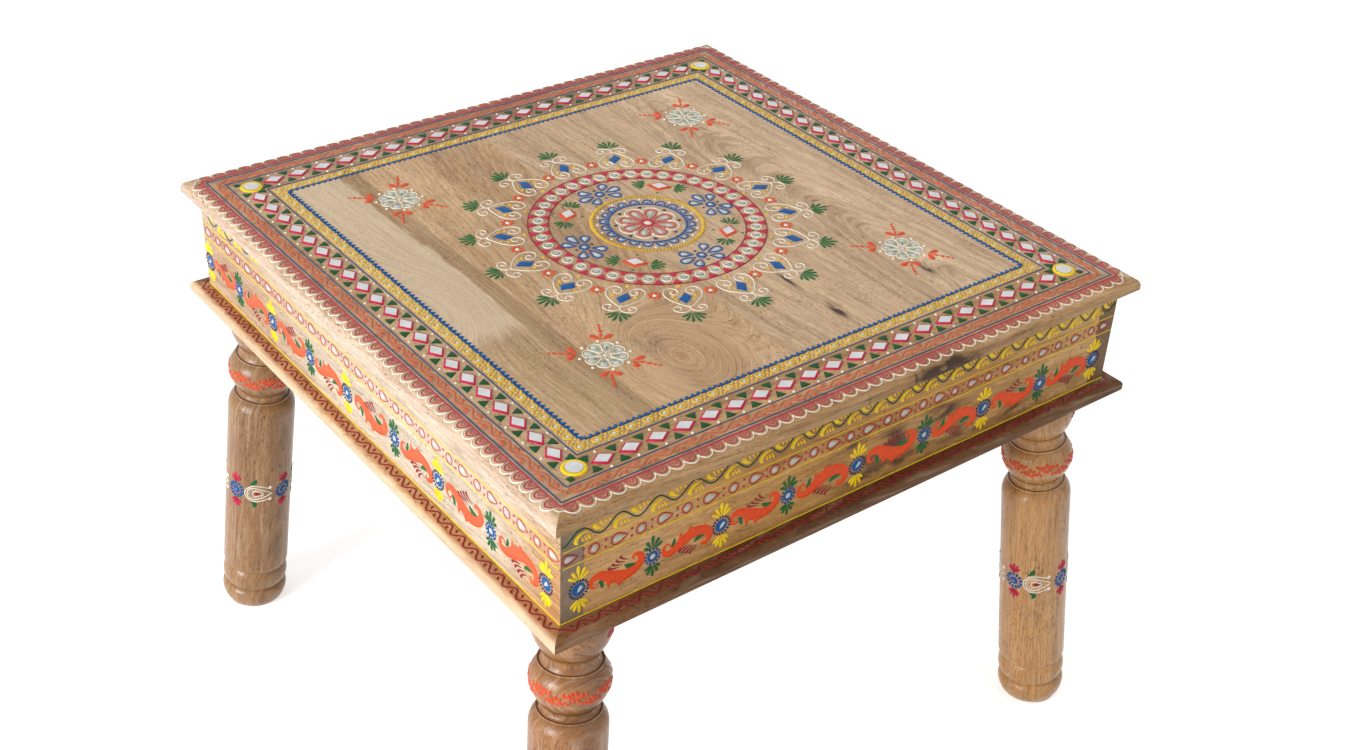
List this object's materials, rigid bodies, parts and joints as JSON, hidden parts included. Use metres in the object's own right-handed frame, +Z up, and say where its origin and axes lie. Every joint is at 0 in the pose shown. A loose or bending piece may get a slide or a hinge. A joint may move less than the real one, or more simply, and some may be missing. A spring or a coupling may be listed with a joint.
{
  "type": "low table",
  "caption": "Square low table: plank top with a mitred rim, mirror chips in a painted border, deep boxed apron and turned legs that lean outwards.",
  "frame": {"origin": "on the floor, under the centre of the top", "axes": "+Z up; the rails' sides face -Y (front), +X (right), +Y (back) and -X (left); the planks run along Y"},
  "size_m": [0.6258, 0.6258, 0.4753],
  "materials": {
    "top_wood": "waxed pale hardwood",
    "apron_wood": "waxed pale hardwood",
    "leg_wood": "waxed brown hardwood",
    "inner_wood": "raw sawn wood",
    "mirror_chip": "small silvered glass chips",
    "raised_paint": "thick hand-piped paint lines in several colours",
    "plain_steel": "zinc plated"
  },
  "bodies": {
    "root": {"apron_back": "apron_wood", "apron_front": "apron_wood", "apron_left": "apron_wood", "apron_right": "apron_wood", "base_moulding_back": "apron_wood", "base_moulding_front": "apron_wood", "base_moulding_left": "apron_wood", "base_moulding_right": "apron_wood", "batten_back": "inner_wood", "batten_front": "inner_wood", "batten_screws": "plain_steel", "block_screws": "plain_steel", "border_mirrors_back": "mirror_chip", "border_mirrors_front": "mirror_chip", "border_mirrors_left": "mirror_chip", "border_mirrors_right": "mirror_chip", "corner_block_back_left": "inner_wood", "corner_block_back_right": "inner_wood", "corner_block_front_left": "inner_wood", "corner_block_front_right": "inner_wood", "corner_mirrors": "mirror_chip", "glue_strip_back": "inner_wood", "glue_strip_front": "inner_wood", "glue_strip_left": "inner_wood", "glue_strip_right": "inner_wood", "hanger_bolts": "plain_steel", "leg_back_left": "leg_wood", "leg_back_right": "leg_wood", "leg_front_left": "leg_wood", "leg_front_right": "leg_wood", "middle_mirrors": "mirror_chip", "nuts": "plain_steel", "top_plank_1": "top_wood", "top_plank_2": "top_wood", "top_plank_3": "top_wood", "top_plank_4": "top_wood", "top_rail_back": "top_wood", "top_rail_front": "top_wood", "top_rail_left": "top_wood", "top_rail_right": "top_wood", "washers": "plain_steel"}
  },
  "joints": []
}
